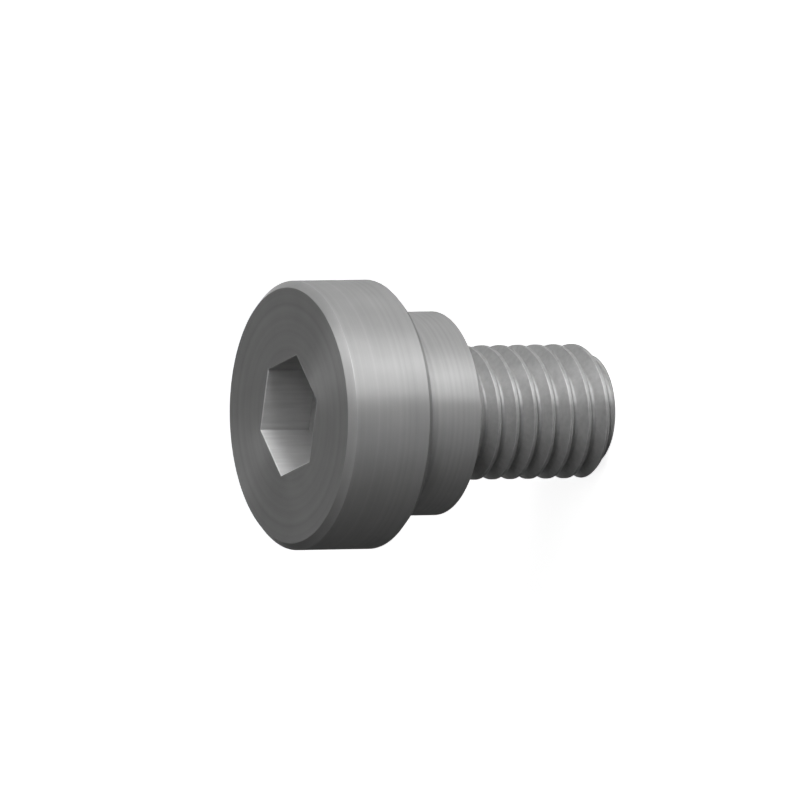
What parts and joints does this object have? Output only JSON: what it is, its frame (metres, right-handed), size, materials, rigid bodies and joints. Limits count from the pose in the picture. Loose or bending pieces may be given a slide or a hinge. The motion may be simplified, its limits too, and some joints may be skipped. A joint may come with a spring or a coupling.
{
  "type": "socket head cap screw",
  "caption": "Low round head with a hexagon socket on a short wide shoulder and a thinner threaded shank. It is turned by a key and holds a part on its shoulder.",
  "frame": {"origin": "centre of the tip's flat end, where the screw stands on its tip", "axes": "+Z along the screw's axis, from the tip up to the head. +X and -X face two flats of the hexagon socket."},
  "size_m": [0.0198, 0.0198, 0.025],
  "materials": {
    "steel": "satin grey steel with fine turning marks"
  },
  "bodies": {
    "root": {"cap_screw": "steel"}
  },
  "joints": []
}
